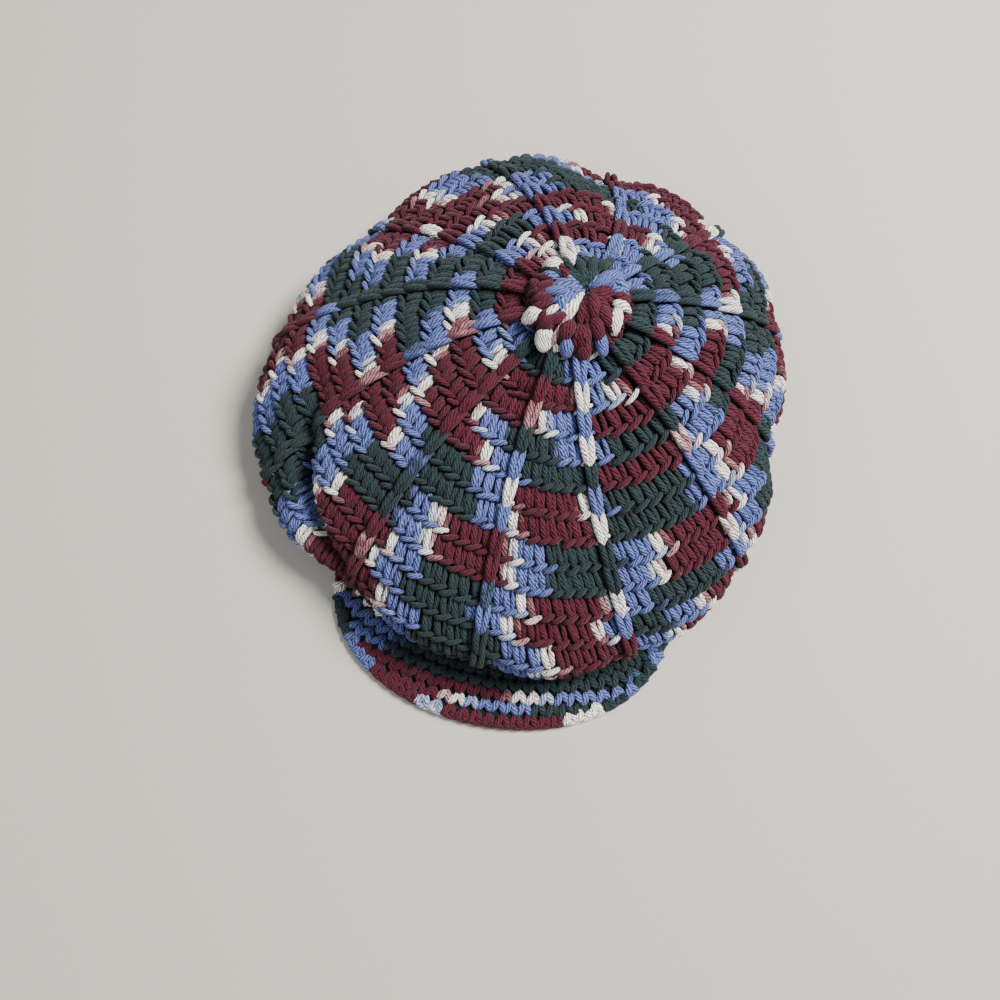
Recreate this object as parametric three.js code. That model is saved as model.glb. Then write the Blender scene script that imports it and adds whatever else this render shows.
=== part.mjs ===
// A crocheted tam: a slouchy crown of twelve wedges, a headband, a small peak and a button.
// Millimetres, +Z up, the peak towards -Y. The hat stands on its headband and its peak.

import * as THREE from 'three';

// Cloth
const WALL = 4.0;               // thickness of the crocheted cloth
const GAP = 0.35;               // clearance kept between two pieces
const FLOOR_CLEARANCE = 3.0;    // the lowest fold of the crown above the surface it lies on

// Crown
const CROWN_HEIGHT = 86;        // the crown's centre above the surface
const CROWN_REACH = 170;        // longest way along a rib from the centre to the rim, seen from above
const CENTRE_X = 0.076 * CROWN_REACH;   // where the crown's centre lies, from the headband's centre
const CENTRE_Y = 0.376 * CROWN_REACH;
const PUFF = 6.0;               // how far a wedge swells between its two ribs
const RIB_HEIGHT = 3.4;         // how far a rib stands out of the cloth
const RIB_WIDTH = 9.0;
const FOLD_DEPTH = 9.0;         // depth of the deepest fold listed below

// Headband
const BAND_RADIUS = 90;         // outside radius, an opening for a head of about 55 cm
const BAND_OVAL = 1.5;          // longer front to back than side to side by this much each way
const BAND_HEIGHT = 25;
const BAND_SWELL = 0.5;         // how far the headband's outside swells at half its height

// Peak
const PEAK_DEPTH = 49;          // from the headband to the outer edge, at the middle
const PEAK_SPREAD = 60;         // degrees round the headband to each side
const PEAK_FACING = 269;        // degrees, the direction that the peak's middle faces
const PEAK_THICKNESS = 5.0;
const PEAK_ARCH = 2.2;          // how far the peak's middle arches up between its two edges
const PEAK_END = 2.0;           // depth of the peak where it runs out at the headband's sides
const PEAK_LIFT = 0.5;          // the peak's underside above the surface at its outer edge

// Button
const BUTTON_RADIUS = 24.5;
const BUTTON_HEIGHT = 9.5;
const BUTTON_SEAT = 0.3;        // thickness of the stitches that hold the button off the crown

// How finely the faceted cloth is cut
const STEPS_ABOVE = 19;         // rows of facets from the centre to the rim
const STEPS_BELOW = 8;          // rows of facets from the rim to the headband
const ACROSS_WEDGE = [0, 0.075, 0.2, 0.4, 0.6, 0.8, 0.925];

// One row for each rib, in the order that the rounds are worked.
// toward: degrees from the centre to the rim   reach: share of CROWN_REACH
// bow: sideways bend, share of the reach       rim, tuck: heights, shares of CROWN_HEIGHT
// dome: fullness near the centre               curl: how sharply the cloth turns over the rim
const RIBS = [
  { toward: 289, reach: 0.980, bow: -0.045, rim: 0.34, tuck: 0.17, dome: 1.15, curl: 0.52 },
  { toward: 263, reach: 1.030, bow: -0.040, rim: 0.34, tuck: 0.17, dome: 1.10, curl: 0.50 },
  { toward: 237, reach: 1.005, bow: -0.050, rim: 0.32, tuck: 0.15, dome: 1.10, curl: 0.52 },
  { toward: 213, reach: 1.020, bow: -0.085, rim: 0.25, tuck: 0.06, dome: 1.15, curl: 0.55 },
  { toward: 189, reach: 0.925, bow: -0.100, rim: 0.27, tuck: 0.06, dome: 1.20, curl: 0.58 },
  { toward: 157, reach: 0.735, bow: -0.050, rim: 0.30, tuck: 0.06, dome: 1.25, curl: 0.66 },
  { toward: 122, reach: 0.675, bow: -0.090, rim: 0.30, tuck: 0.06, dome: 1.30, curl: 0.74 },
  { toward: 85, reach: 0.595, bow: -0.110, rim: 0.30, tuck: 0.06, dome: 1.35, curl: 0.78 },
  { toward: 47, reach: 0.620, bow: -0.030, rim: 0.30, tuck: 0.06, dome: 1.50, curl: 0.75 },
  { toward: 12, reach: 0.660, bow: 0.030, rim: 0.31, tuck: 0.06, dome: 1.85, curl: 0.70 },
  { toward: -20, reach: 0.700, bow: 0.060, rim: 0.33, tuck: 0.07, dome: 1.75, curl: 0.65 },
  { toward: -45, reach: 0.860, bow: 0.030, rim: 0.34, tuck: 0.12, dome: 1.35, curl: 0.56 },
];

// Folds and dents laid over the wedges. rib: place round the crown, along: share of the way from
// centre to rim, slant: how far it moves outwards from rib to rib, wide, long: half widths in the
// same two measures, lift: share of FOLD_DEPTH, less than 0 for a dent.
const FOLDS = [
  { name: 'by the button', rib: 1.8, along: 0.24, slant: 0, wide: 0.55, long: 0.10, lift: -0.65 },
  { name: 'crease, left', rib: 2.62, along: 0.925, slant: -0.28, wide: 0.50, long: 0.042, lift: -1.80 },
  { name: 'left lobe', rib: 2.95, along: 1.0, slant: 0, wide: 0.70, long: 0.10, lift: 0.45 },
  { name: 'crest, left', rib: 3.85, along: 0.90, slant: 0, wide: 0.22, long: 0.16, lift: 0.55 },
  { name: 'behind that crest', rib: 4.25, along: 0.85, slant: 0, wide: 0.28, long: 0.16, lift: -0.45 },
  { name: 'sag, left back', rib: 5.50, along: 0.80, slant: 0, wide: 0.30, long: 0.18, lift: -0.40 },
  { name: 'notch, back', rib: 6.75, along: 0.93, slant: 0, wide: 0.30, long: 0.14, lift: -0.55 },
  { name: 'swell, right back', rib: 8.40, along: 0.65, slant: 0, wide: 0.50, long: 0.22, lift: 0.35 },
  { name: 'slack, right front', rib: 10.60, along: 0.90, slant: 0, wide: 0.40, long: 0.12, lift: 0.40 },
  { name: 'dip, right front', rib: 11.40, along: 0.80, slant: 0, wide: 0.30, long: 0.14, lift: -0.40 },
  { name: 'swag over peak', rib: 0.50, along: 0.97, slant: 0, wide: 0.45, long: 0.08, lift: 0.30 },
];

// Section of the button from its middle outwards. out: share of the radius, up: of the height
const BUTTON_SECTION = [
  { out: 0.07, up: 0.62 },
  { out: 0.20, up: 0.88 },
  { out: 0.45, up: 1.00 },
  { out: 0.72, up: 0.98 },
  { out: 0.90, up: 0.82 },
  { out: 1.00, up: 0.52 },
  { out: 0.95, up: 0.18 },
];

const RIB_COUNT = RIBS.length;
const TURN = 2 * Math.PI;

const radians = (degrees) => degrees * Math.PI / 180;
const wrap = (value, length) => ((value % length) + length) % length;

// Bearings fall from row to row, so that each whole turn takes 360 degrees off them
function ribValue(column, index) {
  const row = RIBS[wrap(index, RIB_COUNT)];
  if (column !== 'toward') {
    return row[column];
  }
  const turns = Math.floor(index / RIB_COUNT);
  const first = RIBS[0].toward;
  const fallen = wrap(first - row.toward, 360);
  return first - fallen - 360 * turns;
}

// Smooth value of one column anywhere round the crown, through the rows at whole numbers
function around(column, place) {
  const i = Math.floor(place);
  const f = place - i;
  const [a, b, c, d] = [-1, 0, 1, 2].map((k) => ribValue(column, i + k));
  const slopeB = (c - a) / 2;
  const slopeC = (d - b) / 2;
  const rise = c - b;
  return b + f * (slopeB + f * ((3 * rise - 2 * slopeB - slopeC) + f * (slopeB + slopeC - 2 * rise)));
}

function bandRadius(bearing) {
  return BAND_RADIUS - BAND_OVAL * Math.cos(2 * bearing);
}

// Where a rib's line meets the headband: the ribs are spread evenly round it
function bandBearing(place) {
  return radians(300 - 360 * place / RIB_COUNT);
}

function bandPoint(place, inset, height) {
  const bearing = bandBearing(place);
  const r = bandRadius(bearing) - inset;
  return new THREE.Vector3(r * Math.cos(bearing), r * Math.sin(bearing), height);
}

// The middle line of the cloth on top, along: 0 at the centre to 1 at the rim
function topPoint(place, along) {
  const bearing = radians(around('toward', place));
  const reach = CROWN_REACH * around('reach', place);
  const side = reach * around('bow', place) * 4 * along * (1 - along);
  const rim = CROWN_HEIGHT * around('rim', place);
  const share = Math.max(0, 1 - Math.pow(along, around('dome', place)));
  const height = rim + (CROWN_HEIGHT - rim) * Math.pow(share, around('curl', place));
  return new THREE.Vector3(
    CENTRE_X + reach * along * Math.cos(bearing) - side * Math.sin(bearing),
    CENTRE_Y + reach * along * Math.sin(bearing) + side * Math.cos(bearing),
    height,
  );
}

function bezier(a, b, c, d, t) {
  const s = 1 - t;
  return new THREE.Vector3()
    .addScaledVector(a, s * s * s)
    .addScaledVector(b, 3 * s * s * t)
    .addScaledVector(c, 3 * s * t * t)
    .addScaledVector(d, t * t * t);
}

// The cloth under the rim, along: 0 at the rim to 1 at the headband
function underPoint(place, along) {
  const rim = topPoint(place, 1);
  const band = bandPoint(place, 0, BAND_HEIGHT + GAP);
  const inward = new THREE.Vector3().subVectors(band, rim).setZ(0);
  const low = Math.max(CROWN_HEIGHT * around('tuck', place), FLOOR_CLEARANCE);
  const tuck = rim.clone().addScaledVector(inward, 0.32).setZ(low);
  if (along < 0.5) {
    const fall = rim.clone().setZ(rim.z - 0.6 * (rim.z - low));
    const reachBack = tuck.clone().addScaledVector(inward, -0.22);
    return bezier(rim, fall, reachBack, tuck, along * 2);
  }
  const onward = tuck.clone().addScaledVector(inward, 0.30);
  const rise = band.clone().addScaledVector(inward, -0.14).setZ(band.z + 1.5);
  return bezier(tuck, onward, rise, band, along * 2 - 1);
}

// One measure for the whole way: 0 centre, 1 rim, 2 headband
function basePoint(place, way) {
  if (way <= 1) {
    return topPoint(place, Math.sin(way * Math.PI / 2));
  }
  return underPoint(place, way - 1);
}

function baseNormal(place, way) {
  if (way < 0.02) {
    return new THREE.Vector3(0, 0, 1);
  }
  const before = basePoint(place, Math.max(way - 0.01, 0.005));
  const after = basePoint(place, Math.min(way + 0.01, 2));
  const left = basePoint(place - 0.02, way);
  const right = basePoint(place + 0.02, way);
  const down = after.sub(before);
  const side = right.sub(left);
  return down.cross(side).negate().normalize();
}

const bump = (distance, halfWidth) => Math.exp(-Math.pow(distance / halfWidth, 2));

function foldLift(place, way) {
  let lift = 0;
  for (const fold of FOLDS) {
    const apart = wrap(place - fold.rib + RIB_COUNT / 2, RIB_COUNT) - RIB_COUNT / 2;
    const middle = Math.asin(Math.min(fold.along, 1)) * 2 / Math.PI;
    const away = way - middle - fold.slant * apart;
    lift += fold.lift * bump(apart, fold.wide) * bump(away, fold.long * 1.2);
  }
  return lift * FOLD_DEPTH;
}

// The cloth's relief fades out at the centre and at the headband
function relief(way) {
  const nearCentre = THREE.MathUtils.smoothstep(way, 0.12, 0.45);
  const nearBand = 1 - THREE.MathUtils.smoothstep(way, 1.35, 1.9);
  return nearCentre * nearBand;
}

function wedgeLift(place, way) {
  const across = place - Math.floor(place);
  return PUFF * (Math.pow(Math.sin(Math.PI * across), 0.8) - 0.5) * relief(way);
}

function ribLift(place, way) {
  const nearest = Math.round(place);
  const step = basePoint(place, way).distanceTo(basePoint(nearest, way));
  return RIB_HEIGHT * bump(step, RIB_WIDTH / 2) * relief(way);
}

function clothPoint(place, way, side) {
  const shared = foldLift(place, way) + wedgeLift(place, way);
  const out = side === 'outside' ? ribLift(place, way) : -WALL;
  return basePoint(place, way).addScaledVector(baseNormal(place, way), shared + out);
}

// Closes a run of rings into one solid: poles close it, or the last ring joins the first
function skin(name, rings, ends, color) {
  const count = rings[0].length;
  const points = rings.flat();
  const triangles = [];
  const joins = ends ? rings.length - 1 : rings.length;
  for (let r = 0; r < joins; r += 1) {
    const next = (r + 1) % rings.length;
    for (let i = 0; i < count; i += 1) {
      const j = (i + 1) % count;
      const [a, b] = [r * count + i, r * count + j];
      const [c, d] = [next * count + i, next * count + j];
      triangles.push([a, c, b], [b, c, d]);
    }
  }
  if (ends) {
    const [first, last] = ends;
    points.push(first, last);
    const lastRing = (rings.length - 1) * count;
    for (let i = 0; i < count; i += 1) {
      const j = (i + 1) % count;
      triangles.push([points.length - 2, i, j]);
      triangles.push([points.length - 1, lastRing + j, lastRing + i]);
    }
  }
  return solid(name, points, triangles, color);
}

// A mesh with its faces turned outwards
function solid(name, points, triangles, color) {
  let volume = 0;
  for (const [a, b, c] of triangles) {
    volume += points[a].dot(new THREE.Vector3().crossVectors(points[b], points[c]));
  }
  const turned = volume < 0 ? triangles.map(([a, b, c]) => [a, c, b]) : triangles;
  const geometry = new THREE.BufferGeometry();
  const flat = points.flatMap((p) => [p.x, p.y, p.z]);
  geometry.setAttribute('position', new THREE.Float32BufferAttribute(flat, 3));
  geometry.setIndex(turned.flat());
  geometry.computeVertexNormals();
  const material = new THREE.MeshStandardMaterial({ color, roughness: 0.95, metalness: 0 });
  const mesh = new THREE.Mesh(geometry, material);
  mesh.name = name;
  return mesh;
}

function crownPlaces() {
  const places = [];
  for (let rib = 0; rib < RIB_COUNT; rib += 1) {
    places.push(...ACROSS_WEDGE.map((share) => rib + share));
  }
  return places;
}

function crown() {
  const places = crownPlaces();
  const ways = [];
  for (let i = 1; i <= STEPS_ABOVE; i += 1) {
    ways.push(1 - Math.pow(1 - i / STEPS_ABOVE, 1.2));
  }
  for (let i = 1; i < STEPS_BELOW; i += 1) {
    ways.push(1 + i / STEPS_BELOW);
  }
  const outside = ways.map((way) => places.map((p) => clothPoint(p, way, 'outside')));
  const inside = ways.map((way) => places.map((p) => clothPoint(p, way, 'inside')));
  const edgeHeight = BAND_HEIGHT + GAP;
  const edges = [
    places.map((p) => bandPoint(p, 0, edgeHeight)),
    places.map((p) => bandPoint(p, WALL, edgeHeight)),
  ];
  const rings = [...outside, ...edges, ...inside.reverse()];
  const poles = [clothPoint(0, 0, 'outside'), clothPoint(0, 0, 'inside')];
  return skin('crown', rings, poles, 0x6d2a3c);
}

function band() {
  const places = crownPlaces();
  const section = [
    { inset: 0, height: 0 },
    { inset: -BAND_SWELL, height: 0.5 },
    { inset: 0, height: 1 },
    { inset: WALL, height: 1 },
    { inset: WALL, height: 0 },
  ];
  const rings = section.map((row) => (
    places.map((p) => bandPoint(p, row.inset, row.height * BAND_HEIGHT))
  ));
  return skin('band', rings, null, 0x24463f);
}

function centreOf(points) {
  const sum = points.reduce((total, p) => total.add(p), new THREE.Vector3());
  return sum.divideScalar(points.length);
}

// The peak lies round the front of the headband, deepest in the middle, rounded at its edge
function peak() {
  const steps = 36;
  const rows = [0, 0.25, 0.5, 0.75, 0.94, 1];
  const rings = [];
  for (let i = 0; i <= steps; i += 1) {
    const share = -1 + 2 * i / steps;
    const bearing = radians(PEAK_FACING + PEAK_SPREAD * share);
    const root = bandRadius(bearing) + BAND_SWELL + GAP;
    const depth = PEAK_END + (PEAK_DEPTH - PEAK_END) * (1 - Math.pow(share, 4));
    const arch = PEAK_ARCH * (1 - share * share);
    const loop = [];
    for (const side of ['over', 'under']) {
      const list = side === 'over' ? rows : [...rows].reverse();
      for (const row of list) {
        const r = root + depth * row;
        const edge = row === 1 ? PEAK_THICKNESS * 0.25 : 0;
        const rise = arch * Math.sin(Math.PI * Math.min(row + 0.15, 1)) + PEAK_LIFT;
        const up = side === 'over' ? PEAK_THICKNESS - edge : edge;
        loop.push(new THREE.Vector3(r * Math.cos(bearing), r * Math.sin(bearing), rise + up));
      }
    }
    rings.push(loop);
  }
  return skin('peak', rings, [centreOf(rings[0]), centreOf(rings[steps])], 0x4f2433);
}

// The button lies on the crown's centre and follows its slope
function button() {
  const sides = 48;
  const level = CROWN_HEIGHT * 0.995;
  const ring = (row, sunk) => {
    const loop = [];
    for (let i = 0; i < sides; i += 1) {
      const place = RIB_COUNT * i / sides;
      const reach = CROWN_REACH * around('reach', place);
      const way = Math.asin(BUTTON_RADIUS * row.out / reach) * 2 / Math.PI;
      const foot = clothPoint(place, way, 'outside');
      const lobes = 1 + 0.05 * Math.cos(12 * TURN * i / sides) * (row.out > 0.8 ? 1 : 0);
      const up = GAP + BUTTON_SEAT + (sunk ? 0 : BUTTON_HEIGHT * row.up);
      const flat = sunk ? 0 : 0.45 * row.out * Math.max(level - foot.z, 0);
      foot.x = CENTRE_X + (foot.x - CENTRE_X) * lobes;
      foot.y = CENTRE_Y + (foot.y - CENTRE_Y) * lobes;
      foot.z += up + flat;
      loop.push(foot);
    }
    return loop;
  };
  const over = BUTTON_SECTION.map((row) => ring(row, false));
  const under = [0.78, 0.4].map((out) => ring({ out, up: 0 }, true));
  const foot = clothPoint(0, 0, 'outside');
  const poles = [
    foot.clone().setZ(foot.z + GAP + BUTTON_HEIGHT * 0.5),
    foot.clone().setZ(foot.z + GAP + BUTTON_SEAT),
  ];
  return skin('button', [...over, ...under], poles, 0x7d2f45);
}

const group = new THREE.Group();
group.name = 'crocheted_tam';
group.add(crown(), band(), peak(), button());

// The frame's origin is the middle of the whole hat's box, on the surface it lies on
const box = new THREE.Box3().setFromObject(group);
const middle = box.getCenter(new THREE.Vector3());
for (const mesh of group.children) {
  mesh.geometry.translate(-middle.x, -middle.y, -box.min.z);
}

export default group;
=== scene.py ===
"""A crocheted tam in variegated cotton, lying on a pale floor. Metres, +Z up, peak towards -Y."""

import bpy
import numpy as np
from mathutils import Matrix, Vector


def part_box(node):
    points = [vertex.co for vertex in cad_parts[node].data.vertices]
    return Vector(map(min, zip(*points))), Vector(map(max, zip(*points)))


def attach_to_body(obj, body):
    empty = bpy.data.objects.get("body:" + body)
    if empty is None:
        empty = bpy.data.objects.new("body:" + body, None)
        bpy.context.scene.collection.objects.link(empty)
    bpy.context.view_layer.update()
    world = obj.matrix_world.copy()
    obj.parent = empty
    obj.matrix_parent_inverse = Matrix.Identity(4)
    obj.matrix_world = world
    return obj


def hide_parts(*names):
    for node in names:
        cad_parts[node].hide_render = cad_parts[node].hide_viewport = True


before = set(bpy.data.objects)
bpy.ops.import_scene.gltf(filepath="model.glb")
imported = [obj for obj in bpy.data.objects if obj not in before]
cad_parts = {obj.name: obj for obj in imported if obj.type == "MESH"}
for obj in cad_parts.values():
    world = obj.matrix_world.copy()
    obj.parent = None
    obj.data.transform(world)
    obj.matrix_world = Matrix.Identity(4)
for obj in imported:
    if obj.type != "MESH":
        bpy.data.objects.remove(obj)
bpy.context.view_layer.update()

MM = 0.001
TURN = 2 * np.pi

# Sizes that the frame gives
BAND_LOW, BAND_HIGH = (np.array(corner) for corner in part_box("band"))
BAND_CENTRE = (BAND_LOW + BAND_HIGH) / 2
BAND_HEIGHT = BAND_HIGH[2]
ORIGIN = np.array([BAND_CENTRE[0], BAND_CENTRE[1], 0])      # every point here is measured from it

# The hat's form, as in the part's source
WALL = 4.0 * MM
GAP = 0.35 * MM
FLOOR_CLEARANCE = 3.0 * MM
CROWN_HEIGHT = 86 * MM
CROWN_REACH = 170 * MM
CENTRE_X = 0.076 * CROWN_REACH
CENTRE_Y = 0.376 * CROWN_REACH
PUFF = 6.0 * MM
FOLD_DEPTH = 9.0 * MM
BAND_RADIUS = 90 * MM
BAND_OVAL = 1.5 * MM
BAND_SWELL = 0.5 * MM
PEAK_DEPTH = 49 * MM
PEAK_SPREAD = 60
PEAK_FACING = 269
PEAK_THICKNESS = 5.0 * MM
PEAK_ARCH = 2.2 * MM
PEAK_END = 2.0 * MM
PEAK_LIFT = 0.5 * MM
BUTTON_RADIUS = 24.5 * MM
BUTTON_HEIGHT = 9.5 * MM
BUTTON_SEAT = 0.3 * MM
FIRST_BAND_BEARING = 300        # degrees at which the first rib meets the headband

# The crown's underside: shares of the way in from the rim to the headband
TUCK_IN = 0.32                  # where it hangs lowest
TUCK_BEFORE = 0.22              # reach of its curve before and beyond that place
TUCK_BEYOND = 0.30
RISE_BEFORE = 0.14              # where it begins to rise to the headband, and how far above it
RISE_ABOVE = 1.5 * MM
RIM_FALL = 0.6                  # share of the drop that the rim makes before it turns in

# Puff of the wedges and the ways between which it grows and fades
PUFF_POWER = 0.8
PUFF_MEAN = 0.5
PUFF_GROWS = (0.12, 0.45)
PUFF_FADES = (1.35, 1.9)
FOLD_STRETCH = 1.2              # folds are this much longer than their rows say

# toward, reach, bow, rim, tuck, dome, curl: one row for each rib
RIB_COLUMNS = ("toward", "reach", "bow", "rim", "tuck", "dome", "curl")
RIBS = (
    (289, 0.980, -0.045, 0.34, 0.17, 1.15, 0.52),
    (263, 1.030, -0.040, 0.34, 0.17, 1.10, 0.50),
    (237, 1.005, -0.050, 0.32, 0.15, 1.10, 0.52),
    (213, 1.020, -0.085, 0.25, 0.06, 1.15, 0.55),
    (189, 0.925, -0.100, 0.27, 0.06, 1.20, 0.58),
    (157, 0.735, -0.050, 0.30, 0.06, 1.25, 0.66),
    (122, 0.675, -0.090, 0.30, 0.06, 1.30, 0.74),
    (85, 0.595, -0.110, 0.30, 0.06, 1.35, 0.78),
    (47, 0.620, -0.030, 0.30, 0.06, 1.50, 0.75),
    (12, 0.660, 0.030, 0.31, 0.06, 1.85, 0.70),
    (-20, 0.700, 0.060, 0.33, 0.07, 1.75, 0.65),
    (-45, 0.860, 0.030, 0.34, 0.12, 1.35, 0.56),
)
RIB_COUNT = len(RIBS)

# rib, along, slant, wide, long, lift: one row for each fold or dent
FOLDS = (
    (1.80, 0.24, 0, 0.55, 0.10, -0.65),
    (2.62, 0.925, -0.28, 0.50, 0.042, -1.80),
    (2.95, 1.00, 0, 0.70, 0.10, 0.45),
    (3.85, 0.90, 0, 0.22, 0.16, 0.55),
    (4.25, 0.85, 0, 0.28, 0.16, -0.45),
    (5.50, 0.80, 0, 0.30, 0.18, -0.40),
    (6.75, 0.93, 0, 0.30, 0.14, -0.55),
    (8.40, 0.65, 0, 0.50, 0.22, 0.35),
    (10.60, 0.90, 0, 0.40, 0.12, 0.40),
    (11.40, 0.80, 0, 0.30, 0.14, -0.40),
    (0.50, 0.97, 0, 0.45, 0.08, 0.30),
)

CAMERA_AZIMUTH = 9              # degrees round from the front, as the photo was taken

# The crochet
ROUNDS = 19                     # rounds of stitches from the centre to the headband
ROUND_DEPTH = 12.8 * MM         # one round where the cloth isn't gathered
YARN = 3.4 * MM                 # thickness of the yarn as it lies in a stitch
PLIES = 7                       # plies seen round a yarn, and the length of one turn of them
PLY_TURN = 17.0 * MM
REPEAT = 21.8                   # stitches in one repeat of the yarn's colours
MOST_STITCHES = 11              # stitches of a wedge in its widest rounds
LAST_WIDE_ROUND = 15            # after it a wedge loses a stitch in each round

# start, pace, sway, turn: one row for each round, from the centre out. Where it begins in the
# colour repeat, how much of that a stitch takes, and how far the maker's tension sways it, as a
# sine once round the crown that begins at that share of a turn
ROUND_YARN = (
    (0.0, 1.00, 0, 0), (5.0, 1.00, 0, 0), (10.8, 0.89, 3, 0.875), (19.2, 1.12, 2, 0.375),
    (16.0, 0.89, 3, 0.375), (6.8, 1.08, 3, 0), (11.0, 0.98, 0, 0), (19.6, 1.12, 0, 0),
    (0.8, 0.98, 2, 0.75), (12.4, 1.09, 1, 0.75), (9.6, 0.99, 2, 0.125), (0.4, 0.99, 3, 0.875),
    (18.8, 1.12, 0, 0), (0.4, 1.07, 0, 0), (21.6, 1.075, 0, 0), (15.0, 1.00, 0, 0),
    (3.0, 1.00, 0, 0), (12.0, 1.00, 0, 0), (18.5, 1.00, 0, 0),
)


def smoothstep(x, low, high):
    t = np.clip((x - low) / (high - low), 0, 1)
    return t * t * (3 - 2 * t)


# Form of the crown. place: 0 to 12 round the crown, rib by rib. way: 0 centre, 1 rim, 2 headband

def rib_column(name):
    column = np.array([row[RIB_COLUMNS.index(name)] for row in RIBS], float)
    if name == "toward":
        column = column[0] - np.mod(column[0] - column, 360)
    return column


def around(name, place):
    """Smooth value of one column through the ribs at whole places."""
    column = rib_column(name)
    i = np.floor(place).astype(int)
    f = place - i

    def value(index):
        v = column[np.mod(index, RIB_COUNT)]
        if name == "toward":
            v = v - 360.0 * np.floor_divide(index, RIB_COUNT)
        return v

    a, b, c, d = (value(i + k) for k in (-1, 0, 1, 2))
    slope_b = (c - a) / 2
    slope_c = (d - b) / 2
    rise = c - b
    bend = 3 * rise - 2 * slope_b - slope_c
    twist = slope_b + slope_c - 2 * rise
    return b + f * (slope_b + f * (bend + f * twist))


def band_radius(bearing):
    return BAND_RADIUS - BAND_OVAL * np.cos(2 * bearing)


def band_bearing(place):
    return np.radians(FIRST_BAND_BEARING - 360 * place / RIB_COUNT)


def band_point(place, height):
    bearing = band_bearing(place)
    r = band_radius(bearing)
    return np.stack([r * np.cos(bearing), r * np.sin(bearing), height + 0 * r], -1)


def top_point(place, along):
    bearing = np.radians(around("toward", place))
    reach = CROWN_REACH * around("reach", place)
    side = reach * around("bow", place) * 4 * along * (1 - along)
    rim = CROWN_HEIGHT * around("rim", place)
    share = np.clip(1 - along ** around("dome", place), 0, 1)
    height = rim + (CROWN_HEIGHT - rim) * share ** around("curl", place)
    x = CENTRE_X + reach * along * np.cos(bearing) - side * np.sin(bearing)
    y = CENTRE_Y + reach * along * np.sin(bearing) + side * np.cos(bearing)
    return np.stack([x, y, height], -1)


def bezier(a, b, c, d, t):
    t = t[..., None]
    s = 1 - t
    return a * s ** 3 + 3 * b * s ** 2 * t + 3 * c * s * t ** 2 + d * t ** 3


def at_height(point, height):
    lifted = point.copy()
    lifted[..., 2] = height
    return lifted


def under_point(place, along):
    """The underside: along runs from 0 at the rim through the lowest place to 1 at the band."""
    rim = top_point(place, np.ones_like(place))
    band = band_point(place, BAND_HEIGHT + GAP)
    inward = at_height(band - rim, 0)
    low = np.maximum(CROWN_HEIGHT * around("tuck", place), FLOOR_CLEARANCE)
    tuck = at_height(rim + TUCK_IN * inward, low)
    fall = at_height(rim, rim[..., 2] - RIM_FALL * (rim[..., 2] - low))
    reach_back = tuck - TUCK_BEFORE * inward
    onward = tuck + TUCK_BEYOND * inward
    rise = at_height(band - RISE_BEFORE * inward, band[..., 2] + RISE_ABOVE)
    first = bezier(rim, fall, reach_back, tuck, np.clip(along * 2, 0, 1))
    second = bezier(tuck, onward, rise, band, np.clip(along * 2 - 1, 0, 1))
    return np.where((along < 0.5)[..., None], first, second)


def base_point(place, way):
    """The plain cloth, without puff and folds."""
    place, way = np.broadcast_arrays(np.asarray(place, float), np.asarray(way, float))
    top = top_point(place, np.sin(np.clip(way, 0, 1) * np.pi / 2))
    under = under_point(place, np.clip(way - 1, 0, 1))
    return np.where((way <= 1)[..., None], top, under)


def unit(v):
    return v / np.maximum(np.linalg.norm(v, axis=-1, keepdims=True), 1e-12)


WAY_STEP = 0.01
PLACE_STEP = 0.02
CENTRE_WAY = 0.02               # nearer to the centre than this the normal is straight up


def base_normal(place, way):
    lower = base_point(place, np.minimum(way + WAY_STEP, 2))
    upper = base_point(place, np.maximum(way - WAY_STEP, WAY_STEP / 2))
    side = base_point(place + PLACE_STEP, way) - base_point(place - PLACE_STEP, way)
    normal = -unit(np.cross(lower - upper, side))
    near = (way < CENTRE_WAY)[..., None]
    return np.where(near, np.array([0.0, 0.0, 1.0]), normal)


def bump(distance, half_width):
    return np.exp(-(distance / half_width) ** 2)


def way_at(along):
    """The way on top of the crown at a share of the reach from its centre to the rim."""
    return np.arcsin(along) * 2 / np.pi


def fold_lift(place, way):
    lift = np.zeros_like(place)
    for rib, along, slant, wide, long, share in FOLDS:
        apart = np.mod(place - rib + RIB_COUNT / 2, RIB_COUNT) - RIB_COUNT / 2
        away = way - way_at(along) - slant * apart
        lift = lift + share * bump(apart, wide) * bump(away, long * FOLD_STRETCH)
    return lift * FOLD_DEPTH


def relief(way):
    return smoothstep(way, *PUFF_GROWS) * (1 - smoothstep(way, *PUFF_FADES))


def wedge_lift(place, way):
    across = np.mod(place, 1)
    return PUFF * (np.sin(np.pi * across) ** PUFF_POWER - PUFF_MEAN) * relief(way)


def cloth_point(place, way, lift):
    """A point of the crown's cloth, lift above its outer face, and the cloth's normal there."""
    place, way, lift = np.broadcast_arrays(*(np.asarray(v, float) for v in (place, way, lift)))
    normal = base_normal(place, way)
    out = fold_lift(place, way) + wedge_lift(place, way) + lift
    return base_point(place, way) + normal * out[..., None], normal


# Rounds of stitches

LINES = 192                     # lines round the crown on which the rounds are measured
RIM_STATION = 80                # steps of a line from centre to rim, and again from rim to band
STATIONS = np.linspace(0, 2, 2 * RIM_STATION + 1)
ROUND_PARTS = 4                 # rows of the table in one round


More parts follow.
